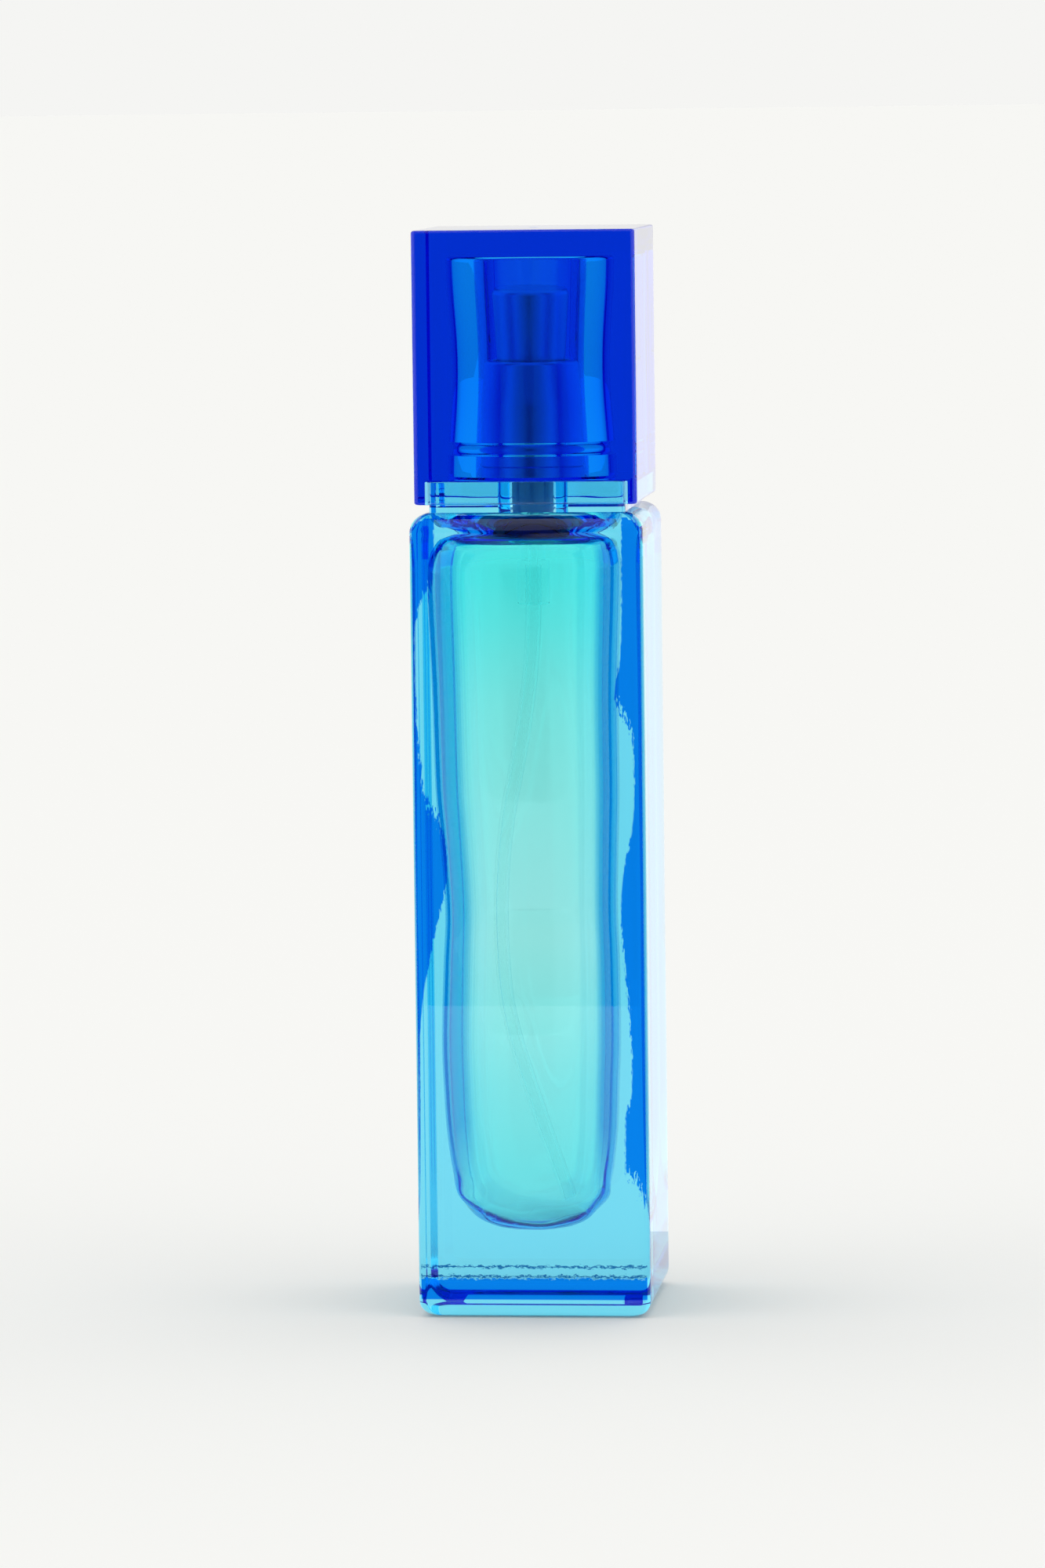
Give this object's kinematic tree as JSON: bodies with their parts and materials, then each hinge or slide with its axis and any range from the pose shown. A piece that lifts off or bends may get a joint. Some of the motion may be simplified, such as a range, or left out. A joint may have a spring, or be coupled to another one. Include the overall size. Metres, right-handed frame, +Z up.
{
  "type": "glass spray bottle",
  "caption": "Tall square spray bottle of thick blue glass with a crimped mist pump, a metal push button and a solid block overcap.",
  "frame": {"origin": "centre of the base, on the surface that the bottle stands on", "axes": "+Z up along the pump, -Y towards the front face, +X to the right seen from the front"},
  "size_m": [0.031, 0.031, 0.1446],
  "materials": {
    "bottle_glass": "transparent blue glass, fire polished",
    "liquid": "clear turquoise liquid",
    "cap_plastic": "transparent deep blue, polished",
    "collar_aluminium": "bright anodised",
    "button_aluminium": "bright anodised",
    "ferrule_aluminium": "rolled, clear lacquer",
    "natural_pp": "natural translucent polypropylene",
    "white_pp": "white polypropylene",
    "seal_rubber": "matt",
    "spring_steel": "drawn wire",
    "ball_steel": "polished"
  },
  "bodies": {
    "bottle": {"glass_bottle": "bottle_glass", "bottle_liquid": "liquid", "collar_shell": "collar_aluminium", "collar_clip": "white_pp", "crimp_ferrule": "ferrule_aluminium", "neck_gasket": "seal_rubber", "pump_housing": "natural_pp", "pump_turret": "white_pp", "stem_seal": "seal_rubber", "return_spring": "spring_steel", "dip_tube": "natural_pp"},
    "cap": {"overcap": "cap_plastic"},
    "plunger": {"stem": "white_pp", "stem_head": "white_pp", "precompression_spring": "spring_steel"},
    "outlet_piston": {"piston": "natural_pp"},
    "check_ball": {"inlet_ball": "ball_steel"},
    "button": {"actuator_core": "white_pp", "actuator_shell": "button_aluminium", "nozzle_insert": "white_pp"}
  },
  "joints": [
    {"name": "cap_lift", "type": "slide", "parent": "bottle", "child": "cap", "axis": [0, 0, 1], "range_m": [0, 0.045]},
    {"name": "plunger_press", "type": "slide", "parent": "bottle", "child": "plunger", "axis": [0, 0, -1], "range_m": [0, 0.0036], "stiffness_N_per_m": 900, "springref_m": -0.004, "deforming": ["return_spring"]},
    {"name": "outlet_lift", "type": "slide", "parent": "plunger", "child": "outlet_piston", "axis": [0, 0, 1], "range_m": [0, 0.0004], "stiffness_N_per_m": 1500, "springref_m": -0.001, "deforming": ["precompression_spring"]},
    {"name": "ball_lift", "type": "slide", "parent": "bottle", "child": "check_ball", "axis": [0, 0, 1], "range_m": [0, 0.0005]},
    {"name": "button_turn", "type": "hinge", "parent": "plunger", "child": "button", "pos_m": [0, 0, 0.13], "axis": [0, 0, 1], "continuous": true}
  ]
}
